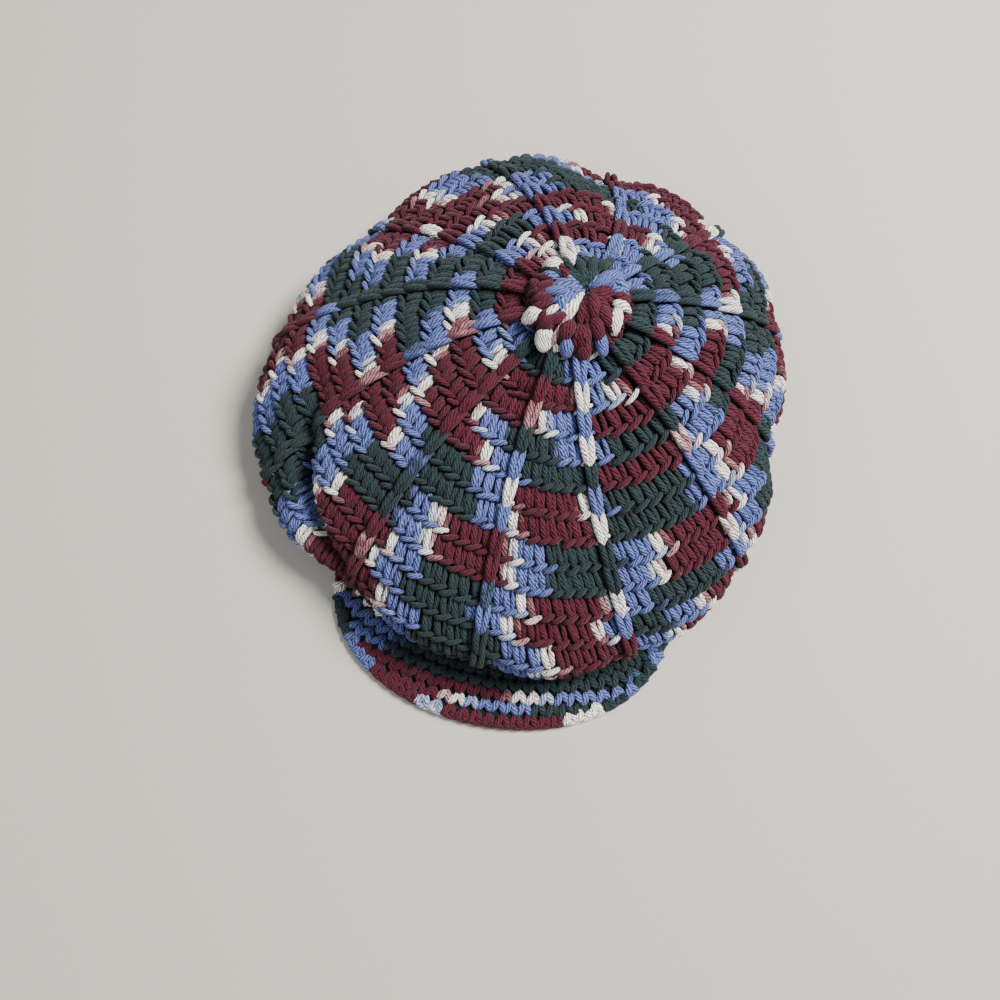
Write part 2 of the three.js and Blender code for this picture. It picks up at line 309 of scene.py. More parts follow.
def round_table():
    """The way at which each quarter of a round lies, on lines spread round the crown."""
    places = np.arange(LINES) * RIB_COUNT / LINES
    points = base_point(places[:, None], STATIONS[None, :])
    steps = np.linalg.norm(np.diff(points, axis=1), axis=-1)
    length = np.concatenate([np.zeros((LINES, 1)), np.cumsum(steps, axis=1)], axis=1)
    rim = length[:, RIM_STATION]
    whole = length[:, -1]
    rows = np.arange(ROUNDS * ROUND_PARTS + 1) / ROUND_PARTS
    table = np.zeros((LINES, len(rows)))
    for i in range(LINES):
        top_rounds = rim[i] / ROUND_DEPTH
        under_depth = (whole[i] - rim[i]) / (ROUNDS - top_rounds)
        under = rim[i] + (rows - top_rounds) * under_depth
        wanted = np.where(rows <= top_rounds, rows * ROUND_DEPTH, under)
        table[i] = np.interp(wanted, length[i], STATIONS)
    return table


ROUND_TABLE = round_table()


def way_of_round(place, row):
    """The way at which a round's edge lies, for any place and any share of a round."""
    line = np.mod(place, RIB_COUNT) * LINES / RIB_COUNT
    step = np.clip(row, 0, ROUNDS) * ROUND_PARTS
    i = np.floor(line).astype(int) % LINES
    j = np.minimum(np.floor(step).astype(int), ROUND_TABLE.shape[1] - 2)
    f = line - np.floor(line)
    g = step - j
    k = (i + 1) % LINES
    near = ROUND_TABLE[i, j] * (1 - g) + ROUND_TABLE[i, j + 1] * g
    far = ROUND_TABLE[k, j] * (1 - g) + ROUND_TABLE[k, j + 1] * g
    return near * (1 - f) + far * f


def crown_cloth(place, row, lift):
    return cloth_point(place, way_of_round(place, row), lift)


def wedge_stitches(number):
    """How many stitches a wedge has in that round, the rib's own among them."""
    return min(number, MOST_STITCHES) - max(0, number - LAST_WIDE_ROUND)


def round_run(number, index):
    """Where the yarn stands in its colour repeat at a stitch, counted round the crown."""
    start, pace, sway, turn = ROUND_YARN[number - 1]
    share = index / (RIB_COUNT * wedge_stitches(number))
    return start + pace * index + sway * np.sin(TURN * (share + turn))


# Strands of yarn

SIDES = 7
RINGS = 7
FEW_RINGS = 5
BUTTON_RINGS = 9

# A strand is half a sine wave thick along its length, a little inside the wave's ends and blunter
# than it, with tips that stand out by a share of half its width
PLUMP_START, PLUMP_SPAN, PLUMP_POWER = 0.08, 0.84, 0.55
TIP = 0.25

# Share of a cell of the OFBake sheet before a strand, and the share that the strand takes
CELL_START, CELL_SPAN = 0.06, 0.88


def add_object(name, data):
    made = bpy.data.objects.new(name, data)
    bpy.context.collection.objects.link(made)
    return made


class Strands:
    """Lengths of yarn, each a plump tube along a short path, gathered into one mesh."""

    def __init__(self, rings):
        self.rings = rings
        self.lots = []

    def add(self, paths, normals, width, height, run, spin=1.0):
        """paths: strands x rings x 3. width, height: across and off the cloth. run: in the repeat.

        spin: how often the plies' pattern goes round the yarn.
        """
        count = len(paths)
        width, height, spin = (np.broadcast_to(value, count) for value in (width, height, spin))
        run = np.broadcast_to(run, (count, self.rings))
        self.lots.append((paths, normals, width, height, run, spin))

    def build(self, name, material):
        paths, normals, width, height, runs, spins = map(np.concatenate, zip(*self.lots))
        width = width[:, None, None, None] / 2
        height = height[:, None, None, None] / 2
        count, rings = paths.shape[:2]
        ahead = unit(np.gradient(paths, axis=1))
        side = unit(np.cross(ahead, normals))
        up = unit(np.cross(side, ahead))
        t = np.linspace(0, 1, rings)
        wave = np.clip(np.sin(np.pi * (PLUMP_START + PLUMP_SPAN * t)), 0, 1)
        plump = (wave ** PLUMP_POWER)[None, :, None, None]
        angle = np.arange(SIDES) * TURN / SIDES
        across = np.cos(angle)[None, None, :, None]
        raised = np.sin(angle)[None, None, :, None]
        tube = paths[:, :, None] + plump * (
            width * across * side[:, :, None] + height * raised * up[:, :, None])
        tips = np.stack([paths[:, 0] - ahead[:, 0] * width[:, 0, 0] * TIP,
                         paths[:, -1] + ahead[:, -1] * width[:, 0, 0] * TIP], 1)
        vertices = np.concatenate([tube.reshape(count, -1, 3), tips], 1).reshape(-1, 3) + ORIGIN
        vertices[:, 2] = np.maximum(vertices[:, 2], 0)
        lengths = np.linalg.norm(np.diff(paths, axis=1), axis=-1)
        along = np.concatenate([np.zeros((count, 1)), np.cumsum(lengths, 1)], 1)
        return strand_piece(name, vertices, along, runs, spins, material)


def strand_faces(rings):
    """Faces of one strand and each corner's ring and side. A triangle's fourth index is -1."""
    faces = []
    corners = []
    for r in range(rings - 1):
        for s in range(SIDES):
            n = (s + 1) % SIDES
            low, high = r * SIDES, (r + 1) * SIDES
            faces.append((low + s, low + n, high + n, high + s))
            corners.append(((r, s), (r, s + 1), (r + 1, s + 1), (r + 1, s)))
    first_tip = rings * SIDES
    end = rings - 1
    for s in range(SIDES):
        n = (s + 1) % SIDES
        faces.append((first_tip, n, s, -1))
        corners.append(((0, s + 0.5), (0, s + 1), (0, s), (0, s)))
        faces.append((first_tip + 1, end * SIDES + s, end * SIDES + n, -1))
        corners.append(((end, s + 0.5), (end, s), (end, s + 1), (end, s)))
    return np.array(faces), np.array(corners)


def strand_piece(name, vertices, along, runs, spins, material):
    count, rings = along.shape
    faces, corners = strand_faces(rings)
    sizes = np.where(faces[:, 3] < 0, 3, 4)
    keep = np.concatenate([np.arange(s) + 4 * i for i, s in enumerate(sizes)])
    one = faces.reshape(-1)[keep]
    per_strand = rings * SIDES + 2
    loops = (one[None, :] + per_strand * np.arange(count)[:, None]).reshape(-1)
    totals = np.tile(sizes, count)
    mesh = bpy.data.meshes.new(name)
    mesh.vertices.add(len(vertices))
    mesh.vertices.foreach_set("co", vertices.astype(np.float32).reshape(-1))
    mesh.loops.add(len(loops))
    mesh.loops.foreach_set("vertex_index", loops.astype(np.int32))
    mesh.polygons.add(len(totals))
    starts = np.concatenate([[0], np.cumsum(totals)[:-1]])
    mesh.polygons.foreach_set("loop_start", starts.astype(np.int32))
    mesh.polygons.foreach_set("use_smooth", np.ones(len(totals), bool))
    mesh.update(calc_edges=True)
    ring, turn = corners.reshape(-1, 2)[keep].T
    ring = ring.astype(int)
    turn = turn / SIDES
    # One cell of the OFBake sheet for each strand, in rows
    columns = int(np.ceil(np.sqrt(count / 2.0)))
    rows = int(np.ceil(count / columns))
    cell = np.arange(count)
    share = ring / (rings - 1)
    u = ((cell % columns)[:, None] + CELL_START + CELL_SPAN * share[None, :]) / columns
    v = ((cell // columns)[:, None] + CELL_START + CELL_SPAN * turn[None, :]) / rows
    sheet = mesh.uv_layers.new(name="OFBake")
    sheet.data.foreach_set("uv", np.stack([u, v], -1).astype(np.float32).reshape(-1))
    # Millimetres along the yarn and turns round it, for the plies
    plies = mesh.uv_layers.new(name="plies")
    length = along[:, ring] / MM
    lay = turn[None, :] * spins[:, None]
    plies.data.foreach_set("uv", np.stack([length, lay], -1).astype(np.float32).reshape(-1))
    run = mesh.attributes.new("run", "FLOAT", "POINT")
    per_vertex = np.concatenate([np.repeat(runs, SIDES, axis=1), runs[:, :1], runs[:, -1:]], 1)
    run.data.foreach_set("value", per_vertex.astype(np.float32).reshape(-1))
    mesh.update()
    mesh.materials.append(material)
    return add_object(name, mesh)


# Yarn material

BURGUNDY = (0.085, 0.0068, 0.0205, 1)
GREEN = (0.0145, 0.032, 0.036, 1)
BLUE = (0.112, 0.150, 0.400, 1)
CREAM = (0.980, 0.915, 0.870, 1)
PINK = (0.420, 0.190, 0.210, 1)
PALE_BLUE = (0.350, 0.420, 0.620, 1)

# Colours along one repeat of the yarn, in stitches
COLOUR_RUN = (
    (0.0, BURGUNDY), (6.2, BURGUNDY), (6.6, PINK), (6.8, CREAM), (7.5, CREAM), (7.8, PALE_BLUE),
    (8.0, BLUE), (10.6, BLUE), (11.0, GREEN), (17.3, GREEN), (17.7, BLUE), (20.3, BLUE),
    (20.5, PALE_BLUE), (20.7, CREAM), (21.3, CREAM), (21.5, PINK), (21.8, BURGUNDY),
)

# Where in the repeat a strand of one colour stands
COLOUR_AT = {"burgundy": 3.0, "cream": 7.1, "pale": 7.8, "blue": 9.4, "green": 14.0, "pink": 6.65}

# Scale and detail of the noises: the colours' borders, the slack of the plies and the fibres
BORDER_NOISE = (160, 2)
SLACK_NOISE = (520, 1)
FIBRE_NOISE = (1900, 3)
BORDER_WANDER = 0.7             # stitches that a colour's border wanders
SLACK_PLIES = 1.1               # plies that the winding wanders
PLY_BULGE = 0.8                 # below 1 the plies are broad and the grooves between them narrow
PLY_SHADE = (0.92, 0.22)        # painted highlight and shade: brightness that a ply's crest adds, and the painted shade of the groove
FIBRE_SHADE = (0.8, 0.62)       # brightness that the fibres add, and the least
FIBRE_HEIGHT = 0.35             # against a ply's 1


def node(tree, kind, **settings):
    made = tree.nodes.new(kind)
    for key, value in settings.items():
        setattr(made, key, value)
    return made


def math(tree, operation, *inputs):
    made = node(tree, "ShaderNodeMath", operation=operation)
    for socket, value in zip(made.inputs, inputs):
        if isinstance(value, (int, float)):
            socket.default_value = value
        else:
            tree.links.new(value, socket)
    return made.outputs[0]


def noise(tree, vector, scale, detail):
    made = node(tree, "ShaderNodeTexNoise")
    made.inputs["Scale"].default_value = scale
    made.inputs["Detail"].default_value = detail
    tree.links.new(vector, made.inputs["Vector"])
    return made.outputs[0]


def multiply_colours(tree):
    """A node that multiplies the colours on its inputs 6 and 7 into its output 2."""
    made = node(tree, "ShaderNodeMix", data_type="RGBA", blend_type="MULTIPLY")
    made.inputs[0].default_value = 1
    return made


def yarn_group():
    """Node group: colour and height of plied yarn.

    Run is where the yarn stands in the colour repeat. Lay is the millimetres along it and the
    turns round it.
    """
    tree = bpy.data.node_groups.new("plied_yarn", "ShaderNodeTree")
    tree.interface.new_socket("Run", in_out="INPUT", socket_type="NodeSocketFloat")
    tree.interface.new_socket("Lay", in_out="INPUT", socket_type="NodeSocketVector")
    tree.interface.new_socket("Colour", in_out="OUTPUT", socket_type="NodeSocketColor")
    tree.interface.new_socket("Height", in_out="OUTPUT", socket_type="NodeSocketFloat")
    source = node(tree, "NodeGroupInput")
    result = node(tree, "NodeGroupOutput")
    place = node(tree, "ShaderNodeTexCoord").outputs["Object"]
    border = noise(tree, place, *BORDER_NOISE)
    wander = math(tree, "MULTIPLY", math(tree, "SUBTRACT", border, 0.5), BORDER_WANDER)
    stood = math(tree, "FLOORED_MODULO", math(tree, "ADD", source.outputs["Run"], wander), REPEAT)
    ramp = node(tree, "ShaderNodeValToRGB")
    tree.links.new(math(tree, "DIVIDE", stood, REPEAT), ramp.inputs[0])
    elements = ramp.color_ramp.elements
    elements[0].position = 0
    elements[0].color = COLOUR_RUN[0][1]
    elements[1].position = 1
    elements[1].color = COLOUR_RUN[-1][1]
    for stitches, colour in COLOUR_RUN[1:-1]:
        elements.new(stitches / REPEAT).color = colour
    # Plies wind round the yarn
    parts = node(tree, "ShaderNodeSeparateXYZ")
    tree.links.new(source.outputs["Lay"], parts.inputs[0])
    winding = math(tree, "ADD", math(tree, "MULTIPLY", parts.outputs[1], PLIES),
                   math(tree, "MULTIPLY", parts.outputs[0], -PLIES * MM / PLY_TURN))
    slack = noise(tree, place, *SLACK_NOISE)
    winding = math(tree, "MULTIPLY_ADD", slack, SLACK_PLIES, winding)
    wave = math(tree, "SINE", math(tree, "MULTIPLY", winding, TURN))
    ply = math(tree, "POWER", math(tree, "MULTIPLY_ADD", wave, 0.5, 0.5), PLY_BULGE)
    fibre = noise(tree, place, *FIBRE_NOISE)
    # Painted highlight and shade: ply crests brighten the colour and the grooves between plies
    # darken it, times the fibres' own tone
    painted_ply_shade_and_fibre_tone = math(tree, "MULTIPLY", math(tree, "MULTIPLY_ADD", ply, *PLY_SHADE),
                 math(tree, "MULTIPLY_ADD", fibre, *FIBRE_SHADE))
    mix = multiply_colours(tree)
    tree.links.new(ramp.outputs[0], mix.inputs[6])
    tree.links.new(painted_ply_shade_and_fibre_tone, mix.inputs[7])
    tree.links.new(mix.outputs[2], result.inputs["Colour"])
    height = math(tree, "MULTIPLY_ADD", fibre, FIBRE_HEIGHT, ply)
    tree.links.new(height, result.inputs["Height"])
    return tree


YARN_GROUP = yarn_group()


def yarn_material(name, painted_brightness=1.0):
    """Yarn with painted shade: its colour is darkened to the given brightness, 1 for yarn in the
    light.
    """
    material = bpy.data.materials.new(name)
    material.use_nodes = True
    tree = material.node_tree
    shader = tree.nodes["Principled BSDF"]
    shader.inputs["Roughness"].default_value = 0.88
    shader.inputs["Specular IOR Level"].default_value = 0.25
    shader.inputs["Sheen Weight"].default_value = 0.06
    shader.inputs["Sheen Roughness"].default_value = 0.5
    group = node(tree, "ShaderNodeGroup", node_tree=YARN_GROUP)
    run = node(tree, "ShaderNodeAttribute", attribute_name="run")
    lay = node(tree, "ShaderNodeUVMap", uv_map="plies")
    tree.links.new(run.outputs["Fac"], group.inputs["Run"])
    tree.links.new(lay.outputs[0], group.inputs["Lay"])
    # Painted shade: the colour is multiplied by the given brightness, darker for cloth that lies in
    # shade
    painted_shade_mix = multiply_colours(tree)
    painted_shade_mix.inputs[7].default_value = (painted_brightness, painted_brightness, painted_brightness, 1)
    tree.links.new(group.outputs["Colour"], painted_shade_mix.inputs[6])
    tree.links.new(painted_shade_mix.outputs[2], shader.inputs["Base Color"])
    plies = node(tree, "ShaderNodeBump")
    plies.inputs["Strength"].default_value = 0.8
    plies.inputs["Distance"].default_value = 0.5 * MM
    tree.links.new(group.outputs["Height"], plies.inputs["Height"])
    tree.links.new(plies.outputs[0], shader.inputs["Normal"])
    return material


def attach(piece, nodes):
    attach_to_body(piece, "root")
    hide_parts(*nodes)


# Crown

rng = np.random.default_rng(12)

# A stitch's strands in the stitch's own measures. x: along the round in stitches, y: out from the
# round's inner edge in rounds, z: off the cloth in yarns
LEFT_LEG = ((0.34, 0.06, -0.75), (0.32, 0.20, -0.25), (0.22, 0.42, -0.08), (0.10, 0.66, -0.12),
            (-0.02, 0.90, -0.55), (-0.06, 1.02, -0.90))
RIGHT_LEG = ((-0.14, 0.10, -0.80), (-0.20, 0.22, -0.40), (-0.24, 0.42, -0.22), (-0.26, 0.64, -0.24),
             (-0.22, 0.84, -0.55), (-0.16, 0.96, -0.90))
TOP_LOOP = ((-0.74, -0.22, -0.60), (-0.44, -0.17, 0.02), (-0.05, -0.06, 0.20), (0.34, 0.04, 0.06),
            (0.64, 0.11, -0.60))
INSIDE_POST = ((-0.30, 0.02, -0.35), (0.02, 0.28, 0.15), (0.16, 0.60, 0.15), (0.34, 0.98, -0.35))

# A rib's stitch stands proud as two legs that meet in a V
RIB_LEFT = ((-0.66, -0.18, 0.45), (-0.60, 0.12, 1.00), (-0.44, 0.50, 1.18), (-0.20, 0.90, 0.98),
            (-0.04, 1.16, 0.30))
RIB_RIGHT = tuple((-x, y, z) for x, y, z in RIB_LEFT)

# Width and height of each kind of strand
LEFT_SIZE = (3.5 * MM, 3.5 * MM)
RIGHT_SIZE = (3.0 * MM, 3.2 * MM)
LOOP_SIZE = (3.0 * MM, 3.2 * MM)
RIB_SIZE = (3.7 * MM, 3.9 * MM)
INSIDE_SIZE = (4.8 * MM, 3.4 * MM)

# How far ahead in the colour repeat the strands stand of where their stitch begins
LEFT_LEAD = 0.35
LOOP_LEAD = 0.7
RIB_LEAD = np.array((0.6, 0.4, 0, 1.0, 0.4, 0.4, 0.4, 2.2, 0.4, 0.2, 0.4, 0.4))    # rib by rib

PIECE_WEDGES = 2                # wedges whose stitches are one piece
RIB_WIDTH = 0.54                # of a stitch
INSIDE_DEPTH = 4.2 * MM         # of the stitches' backs under the crown's face
BACKING_PAINTED_SHADE = 0.40             # painted shade: the cloth behind the stitches is darkened to this share, as it lies in their shade
BACKING_PLACES = 144
BACKING_ROWS = (0.02, 0.5, 0.98)        # in each round
BACKING_START = 0.12            # the first of all, beside the button's middle
BACKING_LIFTS = (-2.4 * MM, -3.6 * MM)

# How far strands stray from their pattern, as a share of a stitch, and across and off the cloth
# against along it
STRAY = 0.06
STRAY_OUT = 0.6
STRAY_OFF = 0.8


def through(points, count):
    """A smooth path of count rings through a few points."""
    points = np.array(points, float)
    wanted = np.linspace(0, len(points) - 1, count)
    i = np.clip(np.floor(wanted).astype(int), 0, len(points) - 2)
    f = (wanted - i)[:, None]
    padded = np.concatenate([[2 * points[0] - points[1]], points, [2 * points[-1] - points[-2]]])
    a, b, c, d = (padded[i + k] for k in range(4))
    return b + 0.5 * f * ((c - a) + f * ((2 * a - 5 * b + 4 * c - d) + f * (3 * (b - c) + d - a)))


def lay_strands(strands, surface, centres, row, pitch, shape, size, run):
    """Lays one strand for each centre, in a row of stitches that are one pitch wide.

    surface takes places, rows and lifts and gives points and normals.
    """
    path = through(shape, strands.rings)
    sway = rng.normal(0, STRAY, (len(centres), 3))
    x = path[None, :, 0] + sway[:, :1]
    y = path[None, :, 1] + sway[:, 1:2] * STRAY_OUT
    z = (path[None, :, 2] + sway[:, 2:] * STRAY_OFF) * YARN
    points, normals = surface(centres[:, None] + x * pitch, row + y, z)
    width = size[0] * (1 + sway[:, 0])
    height = size[1] * (1 + sway[:, 1])
    strands.add(points, normals, width, height, run[:, None])


def round_layout(number, first=1):
    """A round's stitches, in each wedge from that one on: places, width of one, runs of yarn."""
    stitches = wedge_stitches(number)
    index = np.arange(RIB_COUNT * stitches)
    keep = (index % stitches) >= first
    return (index / stitches)[keep], 1 / stitches, round_run(number, index)[keep]


def crown_strands():
    """The legs of each stitch between the ribs, and the loops on top of the round inside it."""
    pieces = [Strands(RINGS) for _ in range(RIB_COUNT // PIECE_WEDGES)]
    for number in range(2, ROUNDS + 1):
        places, width, run = round_layout(number)
        loop_places, loop_width, loop_run = round_layout(number - 1, 0)
        row = number - 1.0
        for index, strands in enumerate(pieces):
            mine = places // PIECE_WEDGES == index
            legs = (places[mine], row, width)
            lay_strands(strands, crown_cloth, *legs, LEFT_LEG, LEFT_SIZE, run[mine] + LEFT_LEAD)
            lay_strands(strands, crown_cloth, *legs, RIGHT_LEG, RIGHT_SIZE, run[mine])
            mine = loop_places // PIECE_WEDGES == index
            lay_strands(strands, crown_cloth, loop_places[mine], row, loop_width, TOP_LOOP,
                        LOOP_SIZE, loop_run[mine] + LOOP_LEAD)
    material = yarn_material("crown_yarn")
    for index, strands in enumerate(pieces):
        piece = strands.build("crown_wedges_%d" % (index + 1), material)
        attach(piece, ["crown"])


def rib_strands():
    strands = Strands(RINGS)
    places = np.arange(RIB_COUNT, dtype=float)
    for number in range(2, ROUNDS + 1):
        stitches = wedge_stitches(number)
        run = round_run(number, np.arange(RIB_COUNT) * stitches) + RIB_LEAD
        for shape in (RIB_LEFT, RIB_RIGHT):
            lay_strands(strands, crown_cloth, places, number - 1.0, RIB_WIDTH / stitches, shape,
                        RIB_SIZE, run)
    piece = strands.build("crown_ribs", yarn_material("rib_yarn"))
    attach(piece, ["crown"])


def crown_inside(place, row, lift):
    points, normals = crown_cloth(place, row, -INSIDE_DEPTH - lift)
    return points, -normals


def inside_strands():
    """The backs of the stitches, seen from below through the headband."""
    strands = Strands(FEW_RINGS)
    for number in range(2, ROUNDS + 1):
        places, width, run = round_layout(number, 0)
        lay_strands(strands, crown_inside, places, number - 1.0, width, INSIDE_POST,
                    INSIDE_SIZE, run)
    piece = strands.build("crown_inside", yarn_material("inside_yarn"))
    attach(piece, ["crown"])


def crown_backing():
    """The cloth behind the stitches, seen between them and from inside, coloured with painted
    shade.
    """
    places = np.arange(BACKING_PLACES) * RIB_COUNT / BACKING_PLACES
    rows = (np.arange(ROUNDS)[:, None] + np.array(BACKING_ROWS)).reshape(-1)
    rows[0] = BACKING_START
    layers = [crown_cloth(*np.meshgrid(places, rows), lift)[0] for lift in BACKING_LIFTS]
    numbers = np.ceil(rows).astype(int)
    run = np.stack([round_run(number, places * wedge_stitches(number)) for number in numbers])
    shell("crown_backing", layers, run, "crown")


def shell(name, layers, run, node_name, closed=True):
    """A cloth wall between two layers of points, each rows x places, closed round or open, its yarn
    darkened with painted shade.
    """
    height, width = run.shape
    vertices = np.concatenate([layer.reshape(-1, 3) for layer in layers]) + ORIGIN
    index = np.arange(height * width).reshape(height, width)
    ahead = np.roll(index, -1, axis=1)
    if not closed:
        ahead = ahead[:, :-1]
        index = index[:, :-1]
    outer = np.stack([index[:-1], ahead[:-1], ahead[1:], index[1:]], -1).reshape(-1, 4)
    inner = outer[:, ::-1] + height * width
    ends = []
    for row, flip in ((0, True), (height - 1, False)):
        a, b = index[row], ahead[row]
        quad = np.stack([b, a, a + height * width, b + height * width], -1)
        ends.append(quad[:, ::-1] if flip else quad)
    faces = np.concatenate([outer, inner, *ends])
    mesh = bpy.data.meshes.new(name)
    mesh.from_pydata(vertices.tolist(), [], faces.tolist())
    mesh.polygons.foreach_set("use_smooth", np.ones(len(faces), bool))
    attribute = mesh.attributes.new("run", "FLOAT", "POINT")
    attribute.data.foreach_set("value", np.tile(run.reshape(-1), 2).astype(np.float32))
    # The wall's yarn is darkened as painted shade, for the shade between and behind the stitches
    mesh.materials.append(yarn_material(name + "_yarn", BACKING_PAINTED_SHADE))
    attach(add_object(name, mesh), [node_name])


# Headband: rows of close stitches, right side out, and their backs inside

BAND_STITCHES = 84
BAND_ROWS = 4
BAND_RUN = (2.0, 14.5, 8.0, 19.0)      # where each row stands in the colour repeat
CLOSE_RUN = 0.70                        # repeat used up by a close stitch, against a tall one's 1

CLOSE_LEFT = ((-0.56, 1.06, -0.45), (-0.36, 0.78, 0.10), (-0.14, 0.36, 0.12), (0.02, -0.06, -0.45))
CLOSE_RIGHT = ((0.50, 1.04, -0.45), (0.36, 0.76, 0.02), (0.20, 0.38, 0.05), (0.06, -0.04, -0.50))
CLOSE_BACK = ((-0.52, 0.40, -0.40), (-0.18, 0.62, 0.05), (0.18, 0.62, 0.05), (0.52, 0.40, -0.40))

CLOSE_SIZE = (3.3 * MM, 3.0 * MM)
CLOSE_BACK_SIZE = (3.6 * MM, 3.0 * MM)
CLOSE_DEPTH = 0.9 * MM          # of close strands' middles under the faces of band and peak
BAND_FOOT = 1.9 * MM            # height of the lowest row's foot
BAND_MARGINS = 3.4 * MM         # the band's height less that of its rows
BAND_BACKING_DEPTH = 0.5 * MM   # below the strands' middles
BAND_BACKING_PLACES = 96
BAND_BACKING_ROWS = np.linspace(-0.1, BAND_ROWS + 0.1, 6)


def band_side(side):
    """The band's outer face, or its inner one at side -1: place in stitches, row from below."""
    def surface(place, row, lift):
        bearing = TURN * place / BAND_STITCHES
        height = BAND_FOOT + (BAND_HEIGHT - BAND_MARGINS) * row / BAND_ROWS
        swell = BAND_SWELL * np.sin(np.pi * height / BAND_HEIGHT)
        beyond = swell + lift - CLOSE_DEPTH if side > 0 else CLOSE_DEPTH - WALL - lift
        r = band_radius(bearing) + beyond
        out = np.stack([np.cos(bearing), np.sin(bearing), 0 * bearing], -1)
        return r[..., None] * out + height[..., None] * np.array([0, 0, 1.0]), side * out
    return surface


def band_strands():
    strands = Strands(FEW_RINGS)
    places = np.arange(BAND_STITCHES, dtype=float)
    for row, start in enumerate(BAND_RUN):
        shifted = places + 0.5 * (row % 2)
        run = start + CLOSE_RUN * places
        for shape in (CLOSE_LEFT, CLOSE_RIGHT):
            lay_strands(strands, band_side(1), shifted, row, 1, shape, CLOSE_SIZE, run)
        lay_strands(strands, band_side(-1), shifted, row, 1, CLOSE_BACK, CLOSE_BACK_SIZE, run)
    piece = strands.build("band_stitches", yarn_material("band_yarn"))
    attach(piece, ["band"])


def band_backing():
    places = np.arange(BAND_BACKING_PLACES) * BAND_STITCHES / BAND_BACKING_PLACES
    place, row = np.meshgrid(places, BAND_BACKING_ROWS)
    layers = [band_side(side)(place, row, -BAND_BACKING_DEPTH)[0] for side in (1, -1)]
    shell("band_backing", layers, BAND_RUN[0] + CLOSE_RUN * place, "band")


# Peak: rows of close stitches out from the headband, each row ending where it meets the edge

PEAK_ROWS = 8
PEAK_STITCH = 7.0 * MM
PEAK_MARGIN = 1.5 * MM          # the peak's depth less that of its rows
PEAK_ROW_END = 0.02             # of a row's depth, left between a stitch and the edge
PEAK_FLATTEN = 0.9              # rows lie flatter than circles round the headband
PEAK_CREST = 0.15               # how much nearer the headband than halfway the arch is highest
PEAK_LOWEST = 1.7 * MM          # of the strands' middles over the floor
PEAK_SIZE = (4.2 * MM, 3.6 * MM)
PEAK_STRAY = 0.05
PEAK_STRAY_OUT = 0.5

# start, pace: for each row but the last, where its middle stands in the colour repeat, and how
# much of it a stitch takes
PEAK_YARN = ((12.2, 0.50), (12.2, 0.50), (12.2, 0.50), (13.4, 0.35), (13.6, 0.36), (5.7, 0.47),
             (8.5, 0.64))

# The last row goes round the edge, and its top loops lie along it
EDGE_STITCHES = 40
EDGE_SHARE = 0.97               # of the way round from the middle to the peak's ends
LOOP_HALF = 0.036               # half of a loop's length, as a share of the same way
LOOP_SLANT = (-1.1 * MM, 0.5 * MM)      # out from the edge at a loop's two ends
LOOP_SINK = 1.6 * MM            # of a loop's middle under the upper face, and its ends' below that
LOOP_BEND = 1.2 * MM
EDGE_LOOP = 3.6 * MM

PEAK_BACKING_SHARES = np.linspace(-0.99, 0.99, 60)
PEAK_BACKING_STEPS = np.linspace(0.02, 0.95, 12)
PEAK_BACKING_DEPTH = 2.1 * MM

# Colours round the peak's edge from the wearer's right. Each ends at that share of the way from
# the middle to an end
PEAK_EDGE = ((-0.79, "burgundy"), (-0.74, "cream"), (-0.58, "green"), (-0.44, "blue"),
             (-0.26, "burgundy"), (-0.17, "pale"), (0.28, "burgundy"), (0.43, "cream"),
             (0.53, "green"), (0.58, "blue"), (0.68, "green"), (0.73, "blue"), (1.0, "green"))


def peak_depth(share):
    return PEAK_END + (PEAK_DEPTH - PEAK_END) * (1 - np.clip(share, -1, 1) ** 4)


def peak_side(side):
    """The peak's upper face, or its under one where side is -1: place in degrees, row outwards."""
    def surface(place, out, lift):
        share = (place - PEAK_FACING) / PEAK_SPREAD
        bearing = np.radians(place)
        depth = peak_depth(share)
        row = np.clip(out / depth, 0, 1)
        arch = PEAK_ARCH * (1 - share ** 2)
        rise = arch * np.sin(np.pi * np.minimum(row + PEAK_CREST, 1)) + PEAK_LIFT
        height = rise + (PEAK_THICKNESS if side > 0 else 0)
        height = np.maximum(height + side * lift, PEAK_LOWEST)
        r = band_radius(bearing) + BAND_SWELL + GAP + out
        point = np.stack([r * np.cos(bearing), r * np.sin(bearing), height], -1)
        return point, np.broadcast_to(np.array([0, 0, float(side)]), point.shape)
    return surface


def lay_close(strands, places, inner, degrees, pitch, run):
    """A row of close stitches on both faces of the peak."""
    for side in (1, -1):
        for shape in (CLOSE_LEFT, CLOSE_RIGHT):
            path = through(shape, strands.rings)
            sway = rng.normal(0, PEAK_STRAY, (len(places), 3))
            place = places[:, None] + degrees * (path[None, :, 0] + sway[:, :1])
            steps = path[None, :, 1] + PEAK_STRAY_OUT * sway[:, 1:2]
            out = inner[:, None] + pitch[:, None] * steps
            lift = (path[None, :, 2] + sway[:, 2:]) * YARN - CLOSE_DEPTH
            points, normals = peak_side(side)(place, out, lift)
            strands.add(points, normals, *PEAK_SIZE, run[:, None])


def peak_rows(strands, pitch):
    for row, (start, pace) in enumerate(PEAK_YARN):
        inner = row * pitch
        reach = (BAND_RADIUS + inner) * np.radians(PEAK_SPREAD)
        count = int(2 * reach / PEAK_STITCH)
        degrees = np.degrees(PEAK_STITCH / (BAND_RADIUS + inner + pitch / 2))
        index = np.arange(count) - (count - 1) / 2 + 0.5 * (row % 2)
        places = PEAK_FACING + index * degrees
        share = (places - PEAK_FACING) / PEAK_SPREAD
        spread = 1 + PEAK_FLATTEN * share ** 2
        keep = (inner + pitch) * spread < peak_depth(share) - PEAK_ROW_END * pitch
        lay_close(strands, places[keep], inner * spread[keep], degrees, pitch * spread[keep],
                  start + pace * index[keep])


